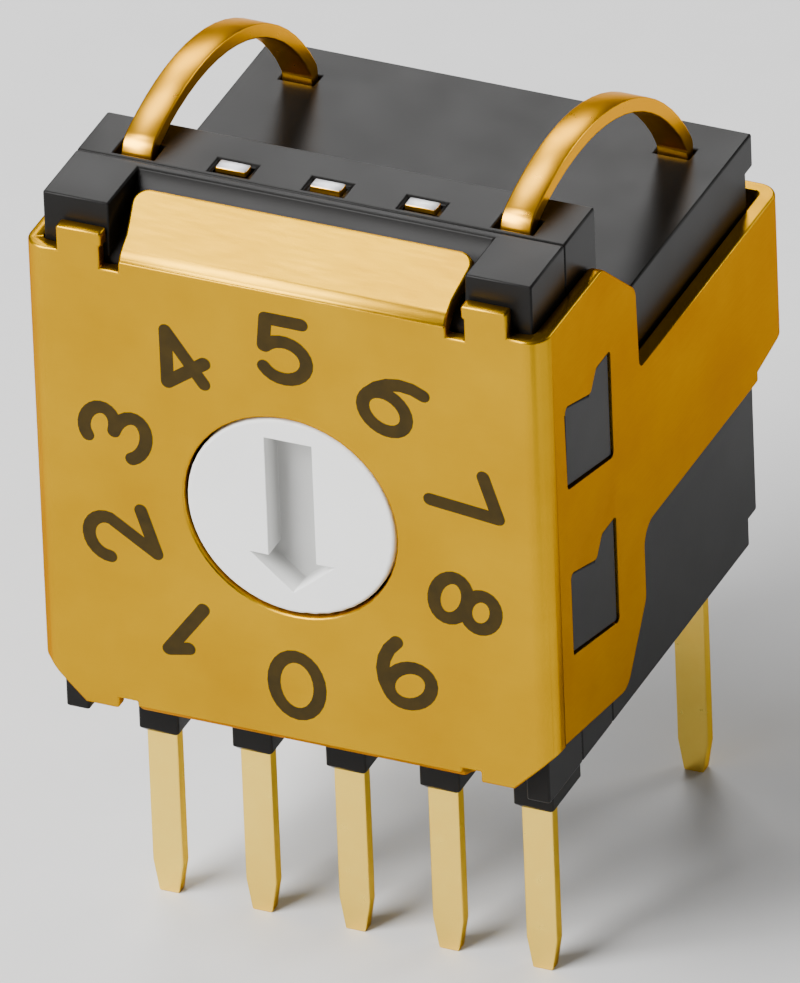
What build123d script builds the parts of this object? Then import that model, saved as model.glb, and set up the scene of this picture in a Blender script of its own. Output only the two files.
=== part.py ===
from build123d import *
import math
import os

# Right-angle rotary DIP switch: a ten-position coded switch stood on edge behind a folded
# metal frame. +X is to the right seen from the dial, +Y runs back from the dial, +Z is up.
# The origin is under the middle of the switch, level with the tips of its pins.

# Leads and pins
pitch = 2.0
row_gap = 7.62
lead_width = 0.65
lead_thickness = 0.3
pin_reach = 3.75
pin_tip_width = 0.42
pin_taper = 0.7
lead_depth = 2.4

# Folded frame
sheet = 0.3
bend_radius = 0.45
side_margin = 1.5
rear_margin = 1.73
plate_height = 10.25
feet_drop = 2.05
return_width = 1.3
arm_top_drop = 3.2
arm_foot_rise = 3.4
arm_end_cut = 1.45
arm_end_rise = 0.25
arm_end_step = 0.2
side_panel_depth = 4.55
side_panel_flat = 3.0
side_panel_chamfer = 1.35
panel_foot_depth = 3.5
panel_foot_rise = 0.3
panel_foot_chamfer = 1.5
corner_cut = 0.95
notch_corner = 0.2
window_front = 0.95
window_depth = 2.25
window_height = 1.9
window_drop = 1.95
window_pitch = 3.8
window_slope = 0.55
window_ear = 1.0
window_ear_slope = 0.3
window_corner = 0.12
flange_margin = 2.05
flange_flare = 0.25
flange_depth = 1.4
flange_rise = 0.8
low_flange_depth = 1.2
low_flange_drop = 0.35
tab_width = 0.95
tab_rise = 0.55
tab_drop = 0.12
tab_margin = 1.23
notch_depth = 0.25
low_notch_depth = 0.12
notch_width = 0.4

# Black mouldings
moulding_gap = 0.05
housing_rise = 1.05
housing_drop = 0.55
low_ear_width = 0.5
housing_wall = 0.35
base_front = 2.0
base_depth = 1.5
foot_width = 0.86
foot_skin = 0.15
peg_radius = 0.35
peg_length = 0.4
peg_clearance = 0.03
pocket_depth = 0.2
pocket_margin = 0.2
boss_clearance = 0.04
boss_recess = 0.03
deck_drop = 1.7
spacer_rear_gap = 0.3
deck_thickness = 0.75
deck_overhang = 0.35
spacer_step_depth = 0.4
spacer_step_height = 0.6
spacer_wall = 2.6
spacer_end_wall = 0.8
spacer_roof = 1.5
slot_clearance = 0.04
post_width = 0.9
post_depth = 1.3
foot_chamfer = 0.12

# Rotor, its seal and its detent
rotor_radius = 2.2
plate_hole_gap = 0.06
running_gap = 0.05
rotor_recess = 0.03
rotor_edge = 0.08
rotor_flange_radius = 3.3
rotor_flange_thickness = 0.45
seal_section = 0.4
detents = 10
notch_radius = 0.36
stem_radius = 0.6
stem_length = 1.35
arrow_depth = 0.6
arrow_length = 3.45
arrow_shaft_width = 1.0
arrow_head_width = 1.75
arrow_head_length = 0.75
spring_thickness = 0.12
spring_width = 0.35
spring_half_angle = 38
spring_bump_width = 0.8

# Contacts
dish_radius = 3.95
brush_thickness = 0.12
brush_finger_width = 0.35
brush_finger_length = 1.1
brush_gap = 0.02
track_width = 0.6
track_start = 10
inner_track_end = 140
outer_track_end = 95
common_track_radius = 1.05
outer_track_radius = 2.85
tail_depth = 1.7
anchor_width = 1.15
anchor_height = 0.45
resin_depth = 0.35
resin_margin = 1.3

# Arched support leads
arch_rise = 1.1
arch_drop = 1.5
arch_bow = 1.5
arch_bend_radius = 0.35
cut_lead_rise = 0.05

# Levels, depths and radii that follow from the sizes above
foot_z = pin_reach
plate_z = foot_z + feet_drop
plate_top_z = plate_z + plate_height
dial_z = plate_z + plate_height / 2
housing_z = plate_z - housing_drop
housing_top_z = plate_top_z + housing_rise
housing_height = housing_top_z - housing_z
deck_z = plate_top_z - deck_drop
frame_width = 4 * pitch + 2 * side_margin
frame_depth = lead_depth + row_gap + rear_margin
half_width = frame_width / 2
flange_half_width = half_width - flange_margin
tab_centre = half_width - tab_margin
moulding_width = frame_width - 2 * (sheet + moulding_gap)
front_y = -frame_depth / 2
face_y = front_y + sheet + moulding_gap
base_y = front_y + base_front
base_back_y = base_y + base_depth
lead_y = front_y + lead_depth
rear_lead_y = lead_y + row_gap
deck_back_y = frame_depth / 2 - sheet - spacer_rear_gap
spacer_back_y = deck_back_y - deck_overhang
lead_front_y = lead_y - lead_thickness / 2
lead_places = [(index - 2) * pitch for index in range(5)]
outer_x = lead_places[-1]
inner_track_radius = (common_track_radius + outer_track_radius) / 2

# The rotor's stack, counted back from the plate's face
rotor_front_y = front_y + rotor_recess
seal_y = face_y + housing_wall
flange_y = seal_y + seal_section + running_gap
flange_back_y = flange_y + rotor_flange_thickness
cavity_y = seal_y + seal_section
seal_seat_radius = rotor_radius + 2 * running_gap + seal_section


def plane_at(y):
    """A plane that faces the front, with its origin on the dial's axis at the depth y."""
    return Plane(origin=(0, y, dial_z), x_dir=(1, 0, 0), z_dir=(0, -1, 0))


def side_point(depth, height):
    """A point on the YZ plane, by its depth behind the plate and its height over it."""
    return (front_y + depth, plate_top_z + height)


def make_flange(depth, rise):
    """A flange of the plate, bent back at a slant. It widens to its rounded rear corners."""
    with BuildPart() as flange:
        with BuildSketch(Plane.YZ):
            with BuildLine():
                FilletPolyline(
                    side_point(sheet / 2, -plate_height / 4),
                    side_point(sheet / 2, 0),
                    side_point(depth, rise),
                    radius=bend_radius - sheet / 2,
                )
            trace(line_width=sheet)
        extrude(amount=half_width, both=True)
        with BuildSketch(Plane.XY.offset(plate_top_z)):
            Polygon(
                (-flange_half_width, front_y),
                (flange_half_width, front_y),
                (flange_half_width, front_y + bend_radius),
                (flange_half_width + flange_flare, front_y + depth + sheet),
                (-flange_half_width - flange_flare, front_y + depth + sheet),
                (-flange_half_width, front_y + bend_radius),
                align=None,
            )
        extrude(amount=plate_height, both=True, mode=Mode.INTERSECT)
        ends = flange.edges().filter_by(Axis.X, reverse=True).group_by(Axis.Y)[-1]
        fillet(ends, sheet)
    return flange.part


def draw_windows(margin, mode=Mode.ADD):
    """The two windows of a side panel, drawn in by a margin. Each is deeper at its rear."""
    front = window_front + margin
    rear = window_front + window_depth - margin
    for step in range(2):
        top = -window_drop - margin - step * window_pitch
        low = margin - window_drop - window_height - step * window_pitch
        Polygon(
            side_point(front, top),
            side_point(rear - window_ear, top - window_slope * 3 / 4),
            side_point(rear - window_ear + window_ear_slope, top),
            side_point(rear, top),
            side_point(rear, low - window_slope),
            side_point(front, low),
            align=None,
            mode=mode,
        )


def moulding_outline():
    """The front outline that the housing and the base share."""
    with Locations((0, (housing_rise - housing_drop) / 2)):
        Rectangle(moulding_width, housing_height)


def draw_slope(depth, rise, reach):
    """The wedge of a moulding that a flange's slope leaves free."""
    slope_gap = sheet / 2 + moulding_gap
    Polygon(
        side_point(sheet, -slope_gap),
        side_point(depth + slope_gap, rise - slope_gap),
        side_point(depth + 2 * slope_gap, reach),
        side_point(sheet, reach),
        align=None,
    )


# The frame is one folded sheet: a dial plate in front, a panel and an arm down each side, and
# two returns that hold the rear of the mouldings.
with BuildPart() as front_frame:
    with BuildSketch(Plane.XY.offset(plate_z)):
        RectangleRounded(frame_width, frame_depth, bend_radius)
        inner_radius = bend_radius - sheet
        RectangleRounded(
            frame_width - 2 * sheet,
            frame_depth - 2 * sheet,
            inner_radius,
            mode=Mode.SUBTRACT,
        )
        with Locations((0, frame_depth / 2)):
            Rectangle(frame_width - 2 * return_width, 4 * sheet, mode=Mode.SUBTRACT)
    extrude(amount=plate_height)

    arm_foot = arm_foot_rise - plate_height
    panel_foot = panel_foot_rise - plate_height
    with BuildSketch(Plane.YZ):
        with BuildLine():
            Polyline(
                side_point(0, 0),
                side_point(side_panel_flat, 0),
                side_point(side_panel_depth, -side_panel_chamfer),
                side_point(side_panel_depth, -arm_top_drop),
                side_point(frame_depth, -arm_top_drop),
                side_point(frame_depth, arm_foot + arm_end_rise + arm_end_step),
                side_point(frame_depth - arm_end_cut, arm_foot + arm_end_step),
                side_point(frame_depth - arm_end_cut, arm_foot),
                side_point(side_panel_depth, arm_foot),
                side_point(side_panel_depth, panel_foot + panel_foot_chamfer),
                side_point(panel_foot_depth, panel_foot),
                side_point(bend_radius, -plate_height - tab_drop + corner_cut),
                side_point(bend_radius, -plate_height),
                side_point(0, -plate_height),
                close=True,
            )
        make_face()
        flat_corners = vertices().group_by(Axis.X)[2:4]
        rear_corners = vertices().group_by(Axis.X)[4].sort_by(Axis.Y)
        notch_root = rear_corners.pop(2)
        fillet(flat_corners[0] + flat_corners[1] + rear_corners, bend_radius)
        fillet(vertices().sort_by_distance(notch_root)[0], notch_corner)
    extrude(amount=half_width, both=True, mode=Mode.INTERSECT)

    # Two windows down each side show the snap bosses of the housing.
    with BuildSketch(Plane.YZ):
        draw_windows(0)
        fillet(vertices(), window_corner)
    extrude(amount=half_width, both=True, mode=Mode.SUBTRACT)

    # Small tabs stand beside each flange, with a notch between.
    with BuildSketch(plane_at(front_y)):
        with GridLocations(2 * tab_centre, 0, 2, 1):
            with Locations((0, (tab_rise - tab_drop) / 2)):
                Rectangle(tab_width, plate_height + tab_rise + tab_drop)
    extrude(amount=-sheet)

    # The plate's lower corners are cut off at a slant, the side bends with them.
    with BuildSketch(plane_at(front_y)):
        with GridLocations(frame_width, 0, 2, 1):
            with Locations((0, -plate_height / 2 - tab_drop)):
                RegularPolygon(corner_cut, 4)
    extrude(amount=-bend_radius, mode=Mode.SUBTRACT)

    notch_centre = flange_half_width + notch_width / 2
    with BuildSketch(plane_at(front_y)):
        for height, depth in ((plate_height, notch_depth), (-plate_height, low_notch_depth)):
            with Locations((-notch_centre, height / 2), (notch_centre, height / 2)):
                Rectangle(notch_width, 2 * depth)
    extrude(amount=-sheet, mode=Mode.SUBTRACT)

    add(make_flange(flange_depth, flange_rise))
    low_flange = make_flange(low_flange_depth, low_flange_drop)
    add(low_flange.mirror(Plane.XY.offset(dial_z)))

    with BuildSketch(plane_at(front_y)):
        Circle(rotor_radius + plate_hole_gap)
    extrude(amount=-sheet, mode=Mode.SUBTRACT)

front_frame.part.label = "front_frame"


# The housing is the black front moulding. Its front edges slope under the frame's flanges, and
# it holds the rotor, the seal and the two detent springs.
with BuildPart() as switch_housing:
    with BuildSketch(plane_at(face_y)):
        moulding_outline()
    extrude(amount=face_y - base_y)

    # Slopes between the ears, below and above, leave room for the frame's flanges.
    with BuildSketch(Plane.YZ):
        draw_slope(low_flange_depth, low_flange_drop, housing_drop)
        mirror(about=Plane.XZ.offset(-dial_z), mode=Mode.REPLACE)
    extrude(amount=moulding_width / 2 - low_ear_width, both=True, mode=Mode.SUBTRACT)
    with BuildSketch(Plane.YZ):
        draw_slope(flange_depth, flange_rise, housing_rise)
    slope_half_width = flange_half_width + flange_flare + moulding_gap
    extrude(amount=slope_half_width, both=True, mode=Mode.SUBTRACT)

    # Snap bosses fill the frame's windows. Their rear ends lie beside the base.
    with BuildSketch(Plane.YZ):
        draw_windows(boss_clearance)
    extrude(amount=half_width - boss_recess, both=True)
    with BuildSketch(plane_at(base_y)):
        Rectangle(moulding_width, plate_height)
    extrude(amount=-base_depth, mode=Mode.SUBTRACT)

    with BuildSketch(plane_at(cavity_y)):
        Circle(dish_radius)
    extrude(amount=cavity_y - base_y, mode=Mode.SUBTRACT)
    with BuildSketch(plane_at(seal_y)):
        Circle(seal_seat_radius)
    extrude(amount=seal_y - cavity_y, mode=Mode.SUBTRACT)
    with BuildSketch(plane_at(face_y)):
        Circle(rotor_radius + running_gap)
    extrude(amount=face_y - seal_y, mode=Mode.SUBTRACT)

    # Blind holes for the base's four pegs.
    with BuildSketch(plane_at(base_y)):
        with GridLocations(2 * tab_centre, plate_height, 2, 2):
            Circle(peg_radius + peg_clearance)
    extrude(amount=peg_length + peg_clearance, mode=Mode.SUBTRACT)

switch_housing.part.label = "switch_housing"


def strip(x, z_low, z_high):
    """A flat lead strip in the lead plane, between two heights."""
    with Locations((x, (z_low + z_high) / 2 - dial_z)):
        Rectangle(lead_width, z_high - z_low)


def track(radius, side, end):
    """A contact track: an arc about the dial's axis down one side, in degrees from the top."""
    ends = sorted((90 - side * track_start, 90 - side * end))
    arc = Edge.make_circle(radius, start_angle=ends[0], end_angle=ends[1])
    trace(arc, line_width=track_width)


def tip_cuts(x, mode=Mode.ADD):
    """The two slim triangles that taper the tip of the pin at x, seen from the front."""
    for side in (-1, 1):
        Polygon(
            (x + side * pin_tip_width / 2, -dial_z),
            (x + side * lead_width / 2, -dial_z),
            (x + side * lead_width / 2, pin_taper - dial_z),
            align=None,
            mode=mode,
        )


# Five terminals are stamped from one sheet. Each has a pin below and a track in the dish.
terminal_names = ["terminal_1", "terminal_2", "terminal_common", "terminal_4", "terminal_8"]
terminals = []
for name, x in zip(terminal_names, lead_places):
    side = math.copysign(1, x)
    with BuildPart() as terminal:
        with BuildSketch(plane_at(lead_front_y)):
            if x == 0:
                strip(x, 0, dial_z - common_track_radius)
                Circle(common_track_radius + track_width / 2)
                Circle(common_track_radius - track_width / 2, mode=Mode.SUBTRACT)
            elif abs(x) == pitch:
                strip(x, 0, dial_z - track_width)
                track(inner_track_radius, side, inner_track_end)
            else:
                strip(x, 0, dial_z + track_width / 2)
                track(outer_track_radius, side, outer_track_end)
                reach = abs(x) - outer_track_radius
                with Locations((side * (outer_track_radius + reach / 2), 0)):
                    Rectangle(reach, track_width)
            tip_cuts(x, mode=Mode.SUBTRACT)
        extrude(amount=-lead_thickness)
    terminal.part.label = name
    terminals.append(terminal.part)


# The middle three top leads are cut off just above the housing, and anchored in the base.
cut_lead_names = ["cut_lead_left", "cut_lead_centre", "cut_lead_right"]
cut_leads = []
for name, x in zip(cut_lead_names, lead_places[1:4]):
    with BuildPart() as cut_lead:
        with BuildSketch(plane_at(lead_front_y)):
            strip(x, housing_top_z - tail_depth, housing_top_z + cut_lead_rise)
            with Locations((x, housing_top_z - tail_depth + anchor_height / 2 - dial_z)):
                Rectangle(anchor_width, anchor_height)
        extrude(amount=-lead_thickness)
    cut_lead.part.label = name
    cut_leads.append(cut_lead.part)


# The outer two top leads arch back over the deck and go down through the spacer, where their
# ends are the rear pins.
support_names = ["support_lead_left", "support_lead_right"]
support_leads = []
arch_front = (lead_y, plate_top_z + arch_rise)
arch_rear = (rear_lead_y, plate_top_z - arch_drop)
for name, x in zip(support_names, (-outer_x, outer_x)):
    with BuildPart() as support_lead:
        with BuildSketch(Plane.YZ.offset(x)):
            with BuildLine():
                Line((lead_y, housing_top_z - tail_depth), arch_front)
                SagittaArc(arch_front, arch_rear, arch_bow)
                Line(arch_rear, (rear_lead_y, 0))
                corners = vertices().sort_by(Axis.Y)
                fillet((corners[1], corners[3]), arch_bend_radius)
            trace(line_width=lead_thickness)
        extrude(amount=lead_width / 2, both=True)
        with BuildSketch(plane_at(lead_front_y)):
            with Locations((x, housing_top_z - tail_depth + anchor_height / 2 - dial_z)):
                Rectangle(anchor_width, anchor_height)
        extrude(amount=-lead_thickness)
        with BuildSketch(plane_at(rear_lead_y - lead_thickness / 2)):
            tip_cuts(x)
        extrude(amount=-lead_thickness, mode=Mode.SUBTRACT)
    support_lead.part.label = name
    support_leads.append(support_lead.part)


# The base closes the housing from behind. It is moulded round the leads, stands on five feet,
# and has a dish in front that bares the contact tracks.
with BuildPart() as terminal_base:
    with BuildSketch(plane_at(base_y)):
        moulding_outline()
    extrude(amount=-base_depth)
    foot_front_y = lead_front_y - foot_skin
    with BuildSketch(Plane.XY.offset(foot_z)):
        with Locations((0, (foot_front_y + base_back_y) / 2)):
            with GridLocations(pitch, 0, 5, 1):
                Rectangle(foot_width, base_back_y - foot_front_y)
    extrude(amount=housing_z - foot_z)
    chamfer(terminal_base.faces().group_by(Axis.Z)[0].edges(), foot_chamfer)

    with BuildSketch(plane_at(base_y)):
        Circle(dish_radius)
    extrude(amount=base_y - lead_front_y, mode=Mode.SUBTRACT)
    with BuildSketch(plane_at(lead_front_y)):
        Circle(stem_radius + running_gap)
    extrude(amount=-(stem_length + flange_back_y - lead_front_y + running_gap), mode=Mode.SUBTRACT)

    # Pegs that enter the housing.
    with BuildSketch(plane_at(base_y)):
        with GridLocations(2 * tab_centre, plate_height, 2, 2):
            Circle(peg_radius)
    extrude(amount=peg_length)

    # Pockets round the leads in the top: deep at the arches, shallow at the cut leads.
    pocket_width = lead_width + pocket_margin
    pocket_length = lead_thickness + pocket_margin
    with BuildSketch(Plane.XY.offset(housing_top_z)):
        with Locations((0, lead_y)):
            with GridLocations(2 * outer_x, 0, 2, 1):
                Rectangle(pocket_width, pocket_length)
    extrude(amount=-pocket_depth, mode=Mode.SUBTRACT)
    with BuildSketch(Plane.XY.offset(housing_top_z)):
        with Locations((0, lead_y)):
            with GridLocations(pitch, 0, 3, 1):
                Rectangle(pocket_width, pocket_length)
    extrude(amount=-pocket_depth / 3, mode=Mode.SUBTRACT)

    # The rear is dished for the sealing resin.
    with BuildSketch(plane_at(base_back_y)):
        Rectangle(moulding_width - 2 * resin_margin, plate_height - 2 * resin_margin)
    extrude(amount=resin_depth, mode=Mode.SUBTRACT)

    for lead in terminals + cut_leads + support_leads:
        add(lead, mode=Mode.SUBTRACT)

terminal_base.part.label = "terminal_base"


# Resin seals the back of the base.
with BuildPart() as base_resin:
    with BuildSketch(plane_at(base_back_y)):
        Rectangle(moulding_width - 2 * resin_margin, plate_height - 2 * resin_margin)
    extrude(amount=resin_depth)

base_resin.part.label = "base_resin"


# The spacer fills the frame behind the base. Its deck reaches back over a stepped rear wall,
# it is cored out from below, and two posts beside the rear pins stand on the board.
with BuildPart() as rear_spacer:
    step_y = spacer_back_y - spacer_step_depth
    step_z = housing_z + spacer_step_height
    with BuildSketch(Plane.YZ):
        with BuildLine():
            Polyline(
                (base_back_y, housing_z),
                (base_back_y, deck_z),
                (deck_back_y, deck_z),
                (deck_back_y, deck_z - deck_thickness),
                (spacer_back_y, deck_z - deck_thickness),
                (spacer_back_y, step_z),
                (step_y, step_z),
                (step_y, housing_z),
                close=True,
            )
        make_face()
    extrude(amount=moulding_width / 2, both=True)
    with BuildSketch(Plane.XY.offset(foot_z)):
        with Locations((0, step_y - post_depth / 2)):
            with GridLocations(2 * outer_x - pitch, 0, 2, 1):
                Rectangle(post_width, post_depth)
    extrude(amount=housing_z - foot_z)
    core_depth = spacer_back_y - base_back_y - 2 * spacer_end_wall
    with BuildSketch(Plane.XY.offset(housing_z)):
        with Locations((0, (base_back_y + spacer_back_y) / 2)):
            Rectangle(moulding_width - 2 * spacer_wall, core_depth)
        fillet(vertices(), bend_radius)
    extrude(amount=deck_z - housing_z - spacer_roof, mode=Mode.SUBTRACT)
    with BuildSketch(Plane.XY.offset(housing_z)):
        with Locations((0, rear_lead_y)):
            with GridLocations(2 * outer_x, 0, 2, 1):
                Rectangle(lead_width + 2 * slot_clearance, lead_thickness + 2 * slot_clearance)
    extrude(amount=deck_z - housing_z, mode=Mode.SUBTRACT)

rear_spacer.part.label = "rear_spacer"


# The rotor is turned with a screwdriver in its arrow slot. Ten notches round its flange hold
# it at each position, and its stem runs in the base.
with BuildPart() as rotor:
    with BuildSketch(plane_at(rotor_front_y)):
        Circle(rotor_radius)
    extrude(amount=rotor_front_y - flange_back_y)
    fillet(rotor.edges().filter_by(GeomType.CIRCLE).sort_by(Axis.Y)[0], rotor_edge)
    with BuildSketch(plane_at(flange_y)):
        Circle(rotor_flange_radius)
        with PolarLocations(rotor_flange_radius, detents, start_angle=90):
            Circle(notch_radius, mode=Mode.SUBTRACT)
    extrude(amount=-rotor_flange_thickness)
    with BuildSketch(plane_at(flange_back_y)):
        Circle(stem_radius)
    extrude(amount=-stem_length)

    # The arrow slot points down at rest.
    neck_z = arrow_head_length - arrow_length / 2
    with BuildSketch(plane_at(rotor_front_y)):
        with BuildLine():
            Polyline(
                (-arrow_shaft_width / 2, arrow_length / 2),
                (arrow_shaft_width / 2, arrow_length / 2),
                (arrow_shaft_width / 2, neck_z),
                (arrow_head_width / 2, neck_z),
                (0, -arrow_length / 2),
                (-arrow_head_width / 2, neck_z),
                (-arrow_shaft_width / 2, neck_z),
                close=True,
            )
        make_face()
    extrude(amount=-arrow_depth, mode=Mode.SUBTRACT)

rotor.part.label = "rotor"


# A rubber ring seals the rotor's neck in the housing.
with BuildPart() as rotor_seal:
    ring_radius = rotor_radius + running_gap + seal_section / 2
    with BuildSketch(Plane.YZ):
        with Locations((seal_y + seal_section / 2, dial_z + ring_radius)):
            Circle(seal_section / 2)
    revolve(axis=Axis((0, 0, dial_z), (0, 1, 0)))

rotor_seal.part.label = "rotor_seal"


# Two leaf springs lie against the wall of the cavity, and the bump in the middle of each drops
# into a notch of the rotor.
leaf_radius = dish_radius - spring_thickness
leaf_end = Vector(leaf_radius, 0).rotate(Axis.Z, 90 - spring_half_angle)
bump_tip = rotor_flange_radius - notch_radius / 2
bump_root = leaf_radius - spring_thickness
spring_y = flange_y + (rotor_flange_thickness - spring_width) / 2
spring_names = ["detent_spring_upper", "detent_spring_lower"]
detent_springs = []
for name, side in zip(spring_names, (1, -1)):
    with BuildPart() as detent_spring:
        with BuildSketch(plane_at(spring_y)):
            with BuildLine():
                FilletPolyline(
                    (-leaf_end.X, side * leaf_end.Y),
                    (-spring_bump_width / 2, side * bump_root),
                    (0, side * bump_tip),
                    (spring_bump_width / 2, side * bump_root),
                    (leaf_end.X, side * leaf_end.Y),
                    radius=spring_thickness,
                )
            trace(line_width=spring_thickness)
        extrude(amount=-spring_width)
    detent_spring.part.label = name
    detent_springs.append(detent_spring.part)


def make_finger(radius):
    """A brush finger over the track of that radius, bent back to wipe it."""
    ring_y = flange_back_y + brush_thickness / 2
    tip_y = lead_front_y - brush_gap - brush_thickness / 2
    with BuildPart() as finger:
        with BuildSketch(Plane.XY.offset(dial_z + radius)):
            with BuildLine():
                FilletPolyline(
                    (-brush_finger_length / 2, ring_y),
                    (0, ring_y),
                    (brush_finger_length * 3 / 4, tip_y),
                    (brush_finger_length, tip_y - brush_thickness),
                    radius=brush_thickness,
                )
            trace(line_width=brush_thickness)
        extrude(amount=brush_finger_width / 2, both=True)
    return finger.part


# The contact brush turns with the rotor. Its three fingers wipe the common track and the two
# rings of code tracks.
track_radii = [common_track_radius, inner_track_radius, outer_track_radius]
with BuildPart() as contact_brush:
    with BuildSketch(plane_at(flange_back_y)):
        Circle(common_track_radius + track_width / 2)
        for index, radius in enumerate(track_radii):
            with PolarLocations(radius / 2, 1, start_angle=90 + index * 120):
                Rectangle(radius, brush_finger_width)
        Circle(common_track_radius - track_width / 2, mode=Mode.SUBTRACT)
    extrude(amount=-brush_thickness)
    dial_axis = Axis((0, 0, dial_z), (0, -1, 0))
    for index, radius in enumerate(track_radii):
        add(make_finger(radius).rotate(dial_axis, index * 120))

contact_brush.part.label = "contact_brush"

pieces = [
    front_frame.part,
    switch_housing.part,
    terminal_base.part,
    base_resin.part,
    rear_spacer.part,
    rotor.part,
    rotor_seal.part,
    contact_brush.part,
]
pieces += terminals + cut_leads + support_leads + detent_springs

os.makedirs("parts", exist_ok=True)
for piece in pieces:
    export_step(piece, f"parts/{piece.label}.step")
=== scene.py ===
import math

import bmesh
import bpy
from mathutils import Matrix, Vector


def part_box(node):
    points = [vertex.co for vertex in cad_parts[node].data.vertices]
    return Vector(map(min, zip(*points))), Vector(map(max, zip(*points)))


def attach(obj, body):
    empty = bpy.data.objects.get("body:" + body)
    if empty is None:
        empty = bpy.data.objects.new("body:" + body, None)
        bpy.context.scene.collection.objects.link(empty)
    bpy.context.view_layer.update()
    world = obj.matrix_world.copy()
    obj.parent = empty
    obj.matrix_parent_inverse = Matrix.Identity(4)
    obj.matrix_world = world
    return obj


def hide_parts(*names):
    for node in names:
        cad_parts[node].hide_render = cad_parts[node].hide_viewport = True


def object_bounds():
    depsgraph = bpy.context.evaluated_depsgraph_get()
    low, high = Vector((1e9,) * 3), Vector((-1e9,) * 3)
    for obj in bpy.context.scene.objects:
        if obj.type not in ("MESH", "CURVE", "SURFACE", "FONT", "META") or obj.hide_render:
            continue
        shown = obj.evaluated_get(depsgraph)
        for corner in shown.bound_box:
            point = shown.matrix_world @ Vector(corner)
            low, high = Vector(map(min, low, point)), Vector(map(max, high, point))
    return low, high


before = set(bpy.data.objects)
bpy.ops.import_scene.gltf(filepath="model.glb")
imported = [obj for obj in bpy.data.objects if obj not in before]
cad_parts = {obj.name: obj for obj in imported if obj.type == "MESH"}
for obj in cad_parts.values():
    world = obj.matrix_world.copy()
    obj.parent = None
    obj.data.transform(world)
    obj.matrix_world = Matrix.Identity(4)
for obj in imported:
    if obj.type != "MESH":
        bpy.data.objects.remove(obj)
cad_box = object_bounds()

# ---- Folded frame
# One strip of thin steel, punched, folded round the mouldings and plated a warm yellow gold.
# The punch leaves its edges slightly round, and they catch the light all round the part.
MM = 0.001
merge_gap = 0.0005 * MM
flat_angle = math.radians(1)
sharp_angle = math.radians(60)
frame_edge = 0.05 * MM
short_edge = 0.03 * MM
edge_steps = 2


def rounded_copy(node, name, edge_radius, shortest):
    """A CAD piece again with its sharp edges rounded, but not those under a shortest length."""
    shape = bmesh.new()
    shape.from_mesh(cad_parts[node].data)
    bmesh.ops.remove_doubles(shape, verts=shape.verts, dist=merge_gap)
    bmesh.ops.dissolve_limit(
        shape, angle_limit=flat_angle, verts=shape.verts, edges=shape.edges
    )
    edges = [
        edge
        for edge in shape.edges
        if edge.is_manifold
        and edge.calc_face_angle() > sharp_angle
        and edge.calc_length() > shortest
    ]
    bmesh.ops.bevel(
        shape,
        geom=edges,
        offset=edge_radius,
        affect="EDGES",
        segments=edge_steps,
        profile=0.5,
        material=-1,
    )
    low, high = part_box(node)
    for vert in shape.verts:
        vert.co = [min(max(at, least), most) for at, least, most in zip(vert.co, low, high)]
    mesh = bpy.data.meshes.new(name)
    shape.to_mesh(mesh)
    shape.free()
    mesh.shade_smooth()
    mesh.set_sharp_from_angle(angle=sharp_angle)
    piece = bpy.data.objects.new(name, mesh)
    bpy.context.scene.collection.objects.link(piece)
    even = piece.modifiers.new("even_shading", "WEIGHTED_NORMAL")
    even.keep_sharp = True
    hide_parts(node)
    return piece


def linear(colour):
    """An sRGB hex colour as linear red, green, blue and alpha."""
    parts = [int(colour[index : index + 2], 16) / 255 for index in (1, 3, 5)]
    return [
        part / 12.92 if part <= 0.04045 else ((part + 0.055) / 1.055) ** 2.4
        for part in parts
    ] + [1.0]


def add_node(material, kind, inputs=None, **settings):
    """Adds a shader node. Its inputs are numbers, colours or the sockets that feed them."""
    made = material.node_tree.nodes.new(kind)
    for name, value in settings.items():
        setattr(made, name, value)
    for name, value in (inputs or {}).items():
        if isinstance(value, bpy.types.NodeSocket):
            material.node_tree.links.new(value, made.inputs[name])
        else:
            made.inputs[name].default_value = value
    return made


def new_material(name):
    """An empty material with the coordinates that its patterns read."""
    material = bpy.data.materials.new(name)
    material.use_nodes = True
    material.node_tree.nodes.clear()
    place = add_node(material, "ShaderNodeTexCoord").outputs["Object"]
    return material, place


def finish_material(material, shader):
    """Joins a material's shader to its output."""
    add_node(material, "ShaderNodeOutputMaterial", {"Surface": shader.outputs[0]})
    return material


# Yellow-plated steel, rolled and then barrel plated: a satin metal whose fine rolling grain
# spreads each reflection along the strip, with slightly deeper gold in places.
gold_deep = linear("#AE7E00")
gold_light = linear("#CC9E00")
gold_edge_tint = linear("#E0A838")
cloud_size = 2.2 * MM
grain_width = 0.05 * MM
grain_stretch = 14
grain_strength = 0.12
grain_height = 0.01 * MM
satin_smooth = 0.28
satin_rough = 0.42
gilt, place = new_material("yellow_plated_steel")
clouds = add_node(
    gilt, "ShaderNodeTexNoise", {"Vector": place, "Scale": 1 / cloud_size, "Detail": 3}
)
gold = add_node(
    gilt,
    "ShaderNodeMix",
    {0: clouds.outputs[0], 6: gold_deep, 7: gold_light},
    data_type="RGBA",
)
along = add_node(
    gilt, "ShaderNodeMapping", {"Vector": place, "Scale": (1, 1, grain_stretch)}
)
grain = add_node(
    gilt,
    "ShaderNodeTexNoise",
    {
        "Vector": along.outputs[0],
        "Scale": 1 / (grain_width * grain_stretch),
        "Detail": 2,
    },
)
satin = add_node(
    gilt,
    "ShaderNodeMapRange",
    {"Value": grain.outputs[0], "To Min": satin_smooth, "To Max": satin_rough},
)
grain_relief = add_node(
    gilt,
    "ShaderNodeBump",
    {"Height": grain.outputs[0], "Strength": grain_strength, "Distance": grain_height},
)
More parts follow.
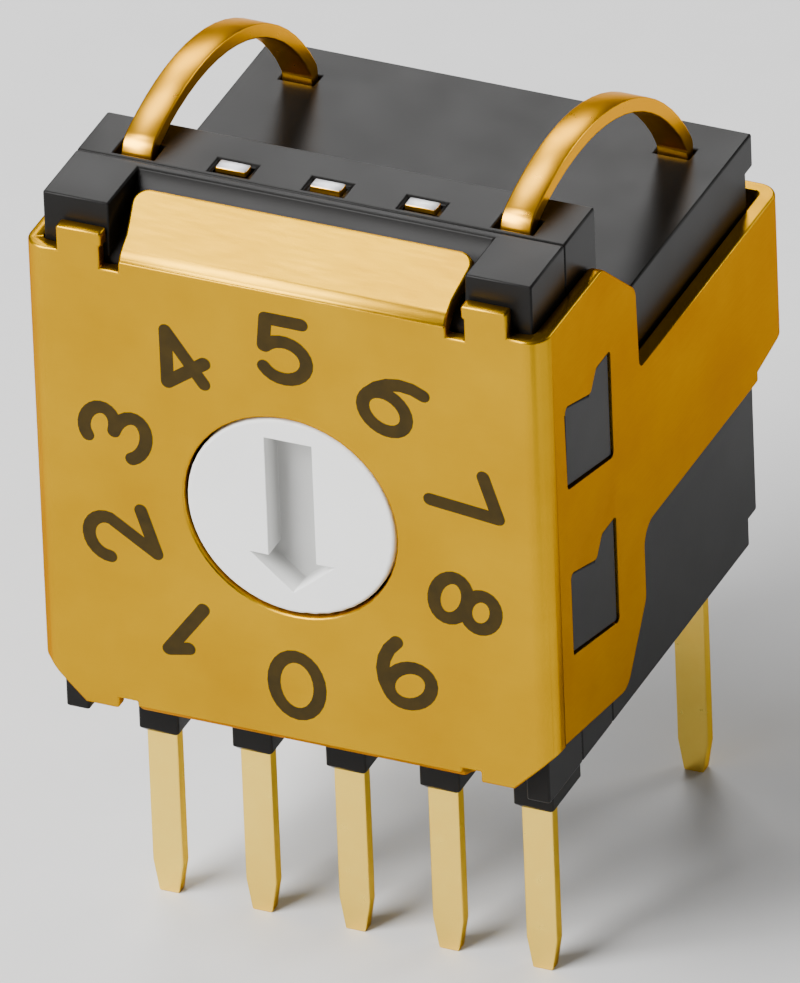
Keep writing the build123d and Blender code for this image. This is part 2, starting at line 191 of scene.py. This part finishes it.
finish_material(
    gilt,
    add_node(
        gilt,
        "ShaderNodeBsdfPrincipled",
        {
            "Base Color": gold.outputs[2],
            "Specular Tint": gold_edge_tint,
            "Metallic": 1,
            "Roughness": satin.outputs[0],
            "Normal": grain_relief.outputs[0],
        },
    ),
)

folded_frame = rounded_copy("front_frame", "folded_frame", frame_edge, short_edge)
folded_frame.data.materials.append(gilt)
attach(folded_frame, "switch_body")

# ---- Black mouldings
# The housing, the base and the spacer are moulded in black glass-filled polyester. They come
# from polished steel moulds, so their flat faces reflect softly and their edges are a bit round.
moulded_edge = 0.05 * MM
spacer_short_edge = 0.08 * MM
black_deep = linear("#121110")
black_grey = linear("#1C1B1A")
flow_size = 1.6 * MM
pore_size = 0.06 * MM
pore_strength = 0.1
pore_depth = 0.006 * MM
polish_smooth = 0.26
polish_rough = 0.4
black_reflectance = 0.1
black_plastic, place = new_material("black_glass_filled_polyester")
flow = add_node(
    black_plastic,
    "ShaderNodeTexNoise",
    {"Vector": place, "Scale": 1 / flow_size, "Detail": 4},
)
pores = add_node(
    black_plastic,
    "ShaderNodeTexNoise",
    {"Vector": place, "Scale": 1 / pore_size, "Detail": 2},
)
tone = add_node(
    black_plastic,
    "ShaderNodeMix",
    {0: flow.outputs[0], 6: black_deep, 7: black_grey},
    data_type="RGBA",
)
sheen = add_node(
    black_plastic,
    "ShaderNodeMapRange",
    {"Value": flow.outputs[0], "To Min": polish_smooth, "To Max": polish_rough},
)
skin = add_node(
    black_plastic,
    "ShaderNodeBump",
    {"Height": pores.outputs[0], "Strength": pore_strength, "Distance": pore_depth},
)
finish_material(
    black_plastic,
    add_node(
        black_plastic,
        "ShaderNodeBsdfPrincipled",
        {
            "Base Color": tone.outputs[2],
            "Roughness": sheen.outputs[0],
            "Specular IOR Level": black_reflectance,
            "Normal": skin.outputs[0],
        },
    ),
)

for node, name, shortest in (
    ("switch_housing", "housing_moulding", short_edge),
    ("terminal_base", "base_moulding", short_edge),
    ("rear_spacer", "spacer_moulding", spacer_short_edge),
):
    moulding = rounded_copy(node, name, moulded_edge, shortest)
    moulding.data.materials.append(black_plastic)
    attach(moulding, "switch_body")

# ---- Leads and pins
# Flat copper-alloy leads, stamped and given a thin gold flash over nickel. The five terminals,
# the two arched leads and the three cut leads all come from one strip. Low down, on the pins,
# the colour is painted paler than on the arches, as painted light from the front light and
# floor.
lead_edge = 0.03 * MM
painted_light_pale = linear("#FFDC62")
flash_warm = linear("#EEAC1C")
flash_edge_tint = linear("#F2CC80")
painted_light_top = 4.5 * MM
painted_light_end = 14 * MM
flash_patch = 0.25
stamp_size = 0.35 * MM
stamp_strength = 0.02
stamp_height = 0.01 * MM
flash_smooth = 0.25
flash_rough = 0.33
flash, place = new_material("gold_flashed_copper_alloy")
handling = add_node(
    flash,
    "ShaderNodeTexNoise",
    {"Vector": place, "Scale": 1 / stamp_size, "Detail": 4},
)
# Painted light: the leads' colour is painted paler low down, fading out higher up towards the
# arches.
height = add_node(flash, "ShaderNodeSeparateXYZ", {"Vector": place})
painted_light_fade = add_node(
    flash,
    "ShaderNodeMapRange",
    {"Value": height.outputs["Z"], "From Min": painted_light_top, "From Max": painted_light_end},
)
patches_and_painted_light = add_node(
    flash,
    "ShaderNodeMath",
    {0: handling.outputs[0], 1: flash_patch, 2: painted_light_fade.outputs[0]},
    operation="MULTIPLY_ADD",
)
flash_tone_with_painted_light = add_node(
    flash,
    "ShaderNodeMix",
    {0: patches_and_painted_light.outputs[0], 6: painted_light_pale, 7: flash_warm},
    data_type="RGBA",
)
flash_gloss = add_node(
    flash,
    "ShaderNodeMapRange",
    {"Value": handling.outputs[0], "To Min": flash_smooth, "To Max": flash_rough},
)
flash_relief = add_node(
    flash,
    "ShaderNodeBump",
    {"Height": handling.outputs[0], "Strength": stamp_strength, "Distance": stamp_height},
)
finish_material(
    flash,
    add_node(
        flash,
        "ShaderNodeBsdfPrincipled",
        {
            "Base Color": flash_tone_with_painted_light.outputs[2],
            "Specular Tint": flash_edge_tint,
            "Metallic": 1,
            "Roughness": flash_gloss.outputs[0],
            "Normal": flash_relief.outputs[0],
        },
    ),
)

# The three cut leads were sheared off after plating, so their ends show bare grey metal.
bare_light = linear("#F0F0F2")
bare_grey = linear("#C4C4C8")
shear_mark = 0.12 * MM
bare_roughness = 0.38
facing_up = 0.9
bare_end, place = new_material("sheared_bare_lead_alloy")
shear = add_node(
    bare_end,
    "ShaderNodeTexNoise",
    {"Vector": place, "Scale": 1 / shear_mark, "Detail": 3},
)
bare_tone = add_node(
    bare_end,
    "ShaderNodeMix",
    {0: shear.outputs[0], 6: bare_grey, 7: bare_light},
    data_type="RGBA",
)
finish_material(
    bare_end,
    add_node(
        bare_end,
        "ShaderNodeBsdfPrincipled",
        {"Base Color": bare_tone.outputs[2], "Metallic": 1, "Roughness": bare_roughness},
    ),
)

lead_nodes = [
    node
    for node in sorted(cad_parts)
    if node.startswith(("terminal_", "cut_lead", "support_lead")) and node != "terminal_base"
]
for node in lead_nodes:
    lead = rounded_copy(node, f"stamped_{node}", lead_edge, short_edge)
    lead.data.materials.append(flash)
    if node.startswith("cut_lead"):
        lead.data.materials.append(bare_end)
        for face in lead.data.polygons:
            face.material_index = int(face.normal.z > facing_up)
    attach(lead, "switch_body")

# ---- Rotor
# The dial is a turned-looking moulding in pale grey acetal with an arrow-shaped driver slot.
# It is matt, and its colour is painted greyer down in the slot, as painted shade in the recess.
rotor_edge = 0.02 * MM
painted_slot_shade_start = 0.12 * MM
painted_slot_shade_end = 0.5 * MM
painted_slot_shade = linear("#B4B4B2")
acetal_light = linear("#F2F2F0")
acetal_grey = linear("#E8E8E6")
acetal_roughness = 0.5
acetal_ior = 1.48
skin_strength = 0.08
rotor_plastic, place = new_material("pale_grey_acetal")
streaks = add_node(
    rotor_plastic,
    "ShaderNodeTexNoise",
    {"Vector": place, "Scale": 1 / flow_size, "Detail": 3},
)
rotor_tone = add_node(
    rotor_plastic,
    "ShaderNodeMix",
    {0: streaks.outputs[0], 6: acetal_grey, 7: acetal_light},
    data_type="RGBA",
)
# Painted shade: the slot's colour darkens to grey with depth below the rotor's face.
rotor_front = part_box("rotor")[0].y
depth = add_node(rotor_plastic, "ShaderNodeSeparateXYZ", {"Vector": place})
painted_shade_by_depth = add_node(
    rotor_plastic,
    "ShaderNodeMapRange",
    {
        "Value": depth.outputs["Y"],
        "From Min": rotor_front + painted_slot_shade_start,
        "From Max": rotor_front + painted_slot_shade_end,
    },
)
tone_with_painted_slot_shade = add_node(
    rotor_plastic,
    "ShaderNodeMix",
    {0: painted_shade_by_depth.outputs[0], 6: rotor_tone.outputs[2], 7: painted_slot_shade},
    data_type="RGBA",
)
matt_skin = add_node(
    rotor_plastic,
    "ShaderNodeTexNoise",
    {"Vector": place, "Scale": 1 / pore_size, "Detail": 2},
)
rotor_skin = add_node(
    rotor_plastic,
    "ShaderNodeBump",
    {"Height": matt_skin.outputs[0], "Strength": skin_strength, "Distance": pore_depth},
)
finish_material(
    rotor_plastic,
    add_node(
        rotor_plastic,
        "ShaderNodeBsdfPrincipled",
        {
            "Base Color": tone_with_painted_slot_shade.outputs[2],
            "Roughness": acetal_roughness,
            "IOR": acetal_ior,
            "Normal": rotor_skin.outputs[0],
        },
    ),
)

dial_rotor = rounded_copy("rotor", "dial_rotor", rotor_edge, short_edge)
dial_rotor.data.materials.append(rotor_plastic)
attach(dial_rotor, "rotor")

# ---- Printed numerals
# Ten position numbers are stamped on the plate in a dark olive ink, tops outward, with 0 at
# the bottom. Each is drawn by a round pen, and each stroke lies a micrometre above the last.
numeral_width = 0.98 * MM
numeral_height = 1.32 * MM
numeral_radius = 3.85 * MM
pen_radius = 0.14 * MM
pen_end_steps = 8
ink_thickness = 0.002 * MM
ink_layer = 0.001 * MM
ink_dark = linear("#231A00")
ink_thin = linear("#3C2D02")
ink_patch = 0.25 * MM
ink_roughness = 0.6
ink_reflectance = 0.15
bow_step = 15
fewest_bow_steps = 4
ink, place = new_material("olive_stamping_ink")
coverage = add_node(
    ink,
    "ShaderNodeTexNoise",
    {"Vector": place, "Scale": 1 / ink_patch, "Detail": 3},
)
ink_tone = add_node(
    ink,
    "ShaderNodeMix",
    {0: coverage.outputs[0], 6: ink_dark, 7: ink_thin},
    data_type="RGBA",
)
finish_material(
    ink,
    add_node(
        ink,
        "ShaderNodeBsdfPrincipled",
        {
            "Base Color": ink_tone.outputs[2],
            "Roughness": ink_roughness,
            "Specular IOR Level": ink_reflectance,
        },
    ),
)

plate_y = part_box("front_frame")[0].y
rotor_low, rotor_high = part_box("rotor")
dial_z = (rotor_low.z + rotor_high.z) / 2
facing = Matrix(((1, 0, 0, 0), (0, 0, -1, plate_y), (0, 1, 0, dial_z), (0, 0, 0, 1)))


def bow(x, y, half_width, half_height, start, end):
    """Points along an oval arc, in shares of a numeral's width and height."""
    steps = max(fewest_bow_steps, round(abs(end - start) / bow_step))
    turns = [math.radians(start + (end - start) * step / steps) for step in range(steps + 1)]
    return [(x + half_width * math.cos(t), y + half_height * math.sin(t)) for t in turns]


six = [bow(0, -0.2, 0.5, 0.3, 0, 360), bow(0.45, -0.2, 0.95, 0.7, 175, 95)]
numerals = [
    [bow(0, 0, 0.5, 0.5, 0, 360)],
    [[(0.08, 0.5), (0.08, -0.5)], [(0.08, 0.5), (-0.22, 0.25)]],
    [bow(0, 0.2, 0.46, 0.3, 165, -30) + [(-0.5, -0.5)], [(-0.5, -0.5), (0.5, -0.5)]],
    [bow(0, 0.26, 0.42, 0.24, 150, -90), bow(0, -0.24, 0.5, 0.26, 90, -150)],
    [[(0.2, 0.5), (0.2, -0.5)], [(0.2, 0.5), (-0.5, -0.22)], [(-0.5, -0.22), (0.5, -0.22)]],
    [
        [(0.42, 0.5), (-0.36, 0.5)],
        [(-0.36, 0.5), (-0.42, 0.02)],
        bow(0, -0.18, 0.5, 0.32, 142, -150),
    ],
    six,
    [[(-0.48, 0.5), (0.48, 0.5)], [(0.48, 0.5), (-0.12, -0.5)]],
    [bow(0, 0.26, 0.4, 0.24, 0, 360), bow(0, -0.24, 0.5, 0.26, 0, 360)],
    [[(-x, -y) for x, y in stroke] for stroke in six],
]


def add_stroke(shape, points, level):
    """A flat strip along the points, as wide as the pen. Open ends are round."""
    steps = [(after - before).normalized() for before, after in zip(points, points[1:])]
    closed = (points[0] - points[-1]).length < pen_radius / 2
    first, last = (steps[-1:], steps[:1]) if closed else (steps[:1], steps[-1:])
    sides = []
    for point, before, after in zip(points, first + steps, steps + last):
        across = (before + after).normalized().orthogonal()
        reach = pen_radius / across.dot(after.orthogonal())
        sides.append(
            [shape.verts.new((*(point + side * reach * across), level)) for side in (1, -1)]
        )
    for (left, right), (next_left, next_right) in zip(sides, sides[1:]):
        shape.faces.new((left, right, next_right, next_left))
    if closed:
        return
    for point, (left, right), way in (
        (points[0], sides[0], steps[0]),
        (points[-1], sides[-1][::-1], -steps[-1]),
    ):
        turns = [math.pi * step / pen_end_steps for step in range(1, pen_end_steps)]
        rim = [way.orthogonal() * math.cos(t) - way * math.sin(t) for t in turns]
        cap = [shape.verts.new((*(point + pen_radius * spoke), level)) for spoke in rim]
        shape.faces.new((left, *cap, right))


for number, strokes in enumerate(numerals):
    shape = bmesh.new()
    for layer, stroke in enumerate(strokes):
        points = [Vector((x * numeral_width, y * numeral_height)) for x, y in stroke]
        add_stroke(shape, points, ink_thickness + layer * ink_layer)
    bmesh.ops.recalc_face_normals(shape, faces=shape.faces)
    turn = math.pi - number * math.tau / len(numerals)
    spot = Matrix.Rotation(turn, 4, "Z") @ Matrix.Translation((0, numeral_radius, 0))
    shape.transform(facing @ spot)
    mesh = bpy.data.meshes.new(f"numeral_{number}")
    shape.to_mesh(mesh)
    shape.free()
    mesh.materials.append(ink)
    numeral = bpy.data.objects.new(f"numeral_{number}", mesh)
    bpy.context.scene.collection.objects.link(numeral)
    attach(numeral, "switch_body")

# ---- Spring parts inside
# The two detent leaves and the contact brush are cut from thin hard-rolled spring strip. They
# keep its bright rolled skin, since nothing plates or paints them.
steel_bright = linear("#C9CACB")
steel_dull = linear("#A9AAAC")
steel_roughness = 0.3
spring_steel, place = new_material("hard_rolled_spring_steel")
rolled = add_node(
    spring_steel,
    "ShaderNodeTexNoise",
    {"Vector": place, "Scale": 1 / grain_width, "Detail": 2},
)
steel_tone = add_node(
    spring_steel,
    "ShaderNodeMix",
    {0: rolled.outputs[0], 6: steel_dull, 7: steel_bright},
    data_type="RGBA",
)
finish_material(
    spring_steel,
    add_node(
        spring_steel,
        "ShaderNodeBsdfPrincipled",
        {"Base Color": steel_tone.outputs[2], "Metallic": 1, "Roughness": steel_roughness},
    ),
)
for node in ("detent_spring_upper", "detent_spring_lower", "contact_brush"):
    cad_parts[node].data.materials.clear()
    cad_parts[node].data.materials.append(spring_steel)

# ---- Seal
# A black nitrile rubber ring sits round the rotor's neck and keeps flux out of the contacts. It
# has the dull skin of moulded rubber.
rubber_colour = linear("#1B1B1C")
rubber_worn = linear("#2A2A2B")
rubber_roughness = 0.7
nitrile, place = new_material("moulded_nitrile_rubber")
bloom = add_node(
    nitrile, "ShaderNodeTexNoise", {"Vector": place, "Scale": 1 / ink_patch, "Detail": 3}
)
rubber_tone = add_node(
    nitrile,
    "ShaderNodeMix",
    {0: bloom.outputs[0], 6: rubber_colour, 7: rubber_worn},
    data_type="RGBA",
)
finish_material(
    nitrile,
    add_node(
        nitrile,
        "ShaderNodeBsdfPrincipled",
        {"Base Color": rubber_tone.outputs[2], "Roughness": rubber_roughness},
    ),
)
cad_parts["rotor_seal"].data.materials.clear()
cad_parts["rotor_seal"].data.materials.append(nitrile)

# ---- Sealing resin
# Dark epoxy is poured in the base's back and cures level with its rim. Its surface sets
# untouched by any mould, so it is glossy.
resin_dark = linear("#1D1712")
resin_brown = linear("#33261A")
resin_roughness = 0.15
resin_ior = 1.55
epoxy, place = new_material("cured_epoxy_resin")
swirl = add_node(
    epoxy, "ShaderNodeTexNoise", {"Vector": place, "Scale": 1 / flow_size, "Detail": 2}
)
resin_tone = add_node(
    epoxy,
    "ShaderNodeMix",
    {0: swirl.outputs[0], 6: resin_dark, 7: resin_brown},
    data_type="RGBA",
)
finish_material(
    epoxy,
    add_node(
        epoxy,
        "ShaderNodeBsdfPrincipled",
        {
            "Base Color": resin_tone.outputs[2],
            "Roughness": resin_roughness,
            "IOR": resin_ior,
        },
    ),
)
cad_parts["base_resin"].data.materials.clear()
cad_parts["base_resin"].data.materials.append(epoxy)

# ---- Floor and light
# The switch stands on a plain pale card. The main soft box is at the front left. The
# others put the pale reflections on the flange, the arches, the deck and the frame's edges.
floor_size = 1200 * MM
card_roughness = 0.9
floor_pale = linear("#E6E6E6")
floor_grey = linear("#E0E0E0")
sheet, place = new_material("matt_pale_card")
fibre = add_node(
    sheet, "ShaderNodeTexNoise", {"Vector": place, "Scale": 1 / flow_size, "Detail": 2}
)
card_tone = add_node(
    sheet,
    "ShaderNodeMix",
    {0: fibre.outputs[0], 6: floor_grey, 7: floor_pale},
    data_type="RGBA",
)
finish_material(
    sheet,
    add_node(
        sheet,
        "ShaderNodeBsdfPrincipled",
        {"Base Color": card_tone.outputs[2], "Roughness": card_roughness},
    ),
)
floor_shape = bmesh.new()
bmesh.ops.create_grid(floor_shape, x_segments=1, y_segments=1, size=floor_size / 2)
floor_mesh = bpy.data.meshes.new("floor")
floor_shape.to_mesh(floor_mesh)
floor_shape.free()
floor_mesh.materials.append(sheet)
floor = bpy.data.objects.new("floor", floor_mesh)
bpy.context.scene.collection.objects.link(floor)

object_middle = (cad_box[0] + cad_box[1]) / 2


def softbox(name, azimuth, elevation, distance, size, brightness):
    """A square soft light that faces the switch. Brightness is the radiance of its face."""
    turn, rise = math.radians(azimuth), math.radians(elevation)
    back = Vector(
        (
            math.sin(turn) * math.cos(rise),
            -math.cos(turn) * math.cos(rise),
            math.sin(rise),
        )
    )
    lamp = bpy.data.lights.new(name, "AREA")
    lamp.size = size
    lamp.energy = brightness * math.pi * size * size
    light = bpy.data.objects.new(name, lamp)
    light.matrix_world = (
        Matrix.Translation(object_middle + back * distance)
        @ back.to_track_quat("Z", "Y").to_matrix().to_4x4()
    )
    bpy.context.scene.collection.objects.link(light)


softbox("overhead_box", -64, 66, 260 * MM, 74 * MM, 13.0)
softbox("front_left_box", -38, 40, 280 * MM, 160 * MM, 20.0)
softbox("low_front_box", -24, 14, 400 * MM, 150 * MM, 4.5)
softbox("left_box", -142, 55, 300 * MM, 88 * MM, 8.5)
softbox("rear_box", 204, 31, 320 * MM, 95 * MM, 7.5)
softbox("rim_box", 146, 22, 350 * MM, 110 * MM, 7.0)

tent_colour = linear("#F2F4F6")
tent_strength = 0.06
world = bpy.data.worlds.new("light_tent")
bpy.context.scene.world = world
world.use_nodes = True
tent = world.node_tree.nodes["Background"]
tent.inputs["Color"].default_value = tent_colour
tent.inputs["Strength"].default_value = tent_strength

# ---- Camera
# It stands to the right of the dial and looks down, with a long lens, as for the photograph.
# The photograph is 983 pixels high, and its scale is measured at the switch's middle.
view_azimuth = math.radians(24.55)
view_elevation = math.radians(32.25)
view_roll = math.radians(-2.3)
view_distance = 600 * MM
pixels_per_mm = 51.07
frame_pixels = 983
aim_depth = -0.15 * MM
aim_height = 9.15 * MM
aim_right = -0.19 * MM
aim_up = -0.85 * MM
lens_data = bpy.data.cameras.new("product_camera")
lens_data.sensor_width = 36
lens_data.lens = pixels_per_mm * (view_distance / MM) / frame_pixels * lens_data.sensor_width
lens_data.clip_start = 100 * MM
lens_data.clip_end = 10000 * MM
camera = bpy.data.objects.new("product_camera", lens_data)
back = Vector(
    (
        math.sin(view_azimuth) * math.cos(view_elevation),
        -math.cos(view_azimuth) * math.cos(view_elevation),
        math.sin(view_elevation),
    )
)
level = Vector((math.cos(view_azimuth), math.sin(view_azimuth), 0))
turned = Matrix.Rotation(view_roll, 3, back)
right = turned @ level
up = turned @ back.cross(level)
aim = Vector((0, aim_depth, aim_height)) + right * aim_right + up * aim_up
camera.matrix_world = Matrix.Translation(aim + back * view_distance) @ Matrix(
    (right, up, back)
).transposed().to_4x4()
bpy.context.scene.collection.objects.link(camera)
bpy.context.scene.camera = camera
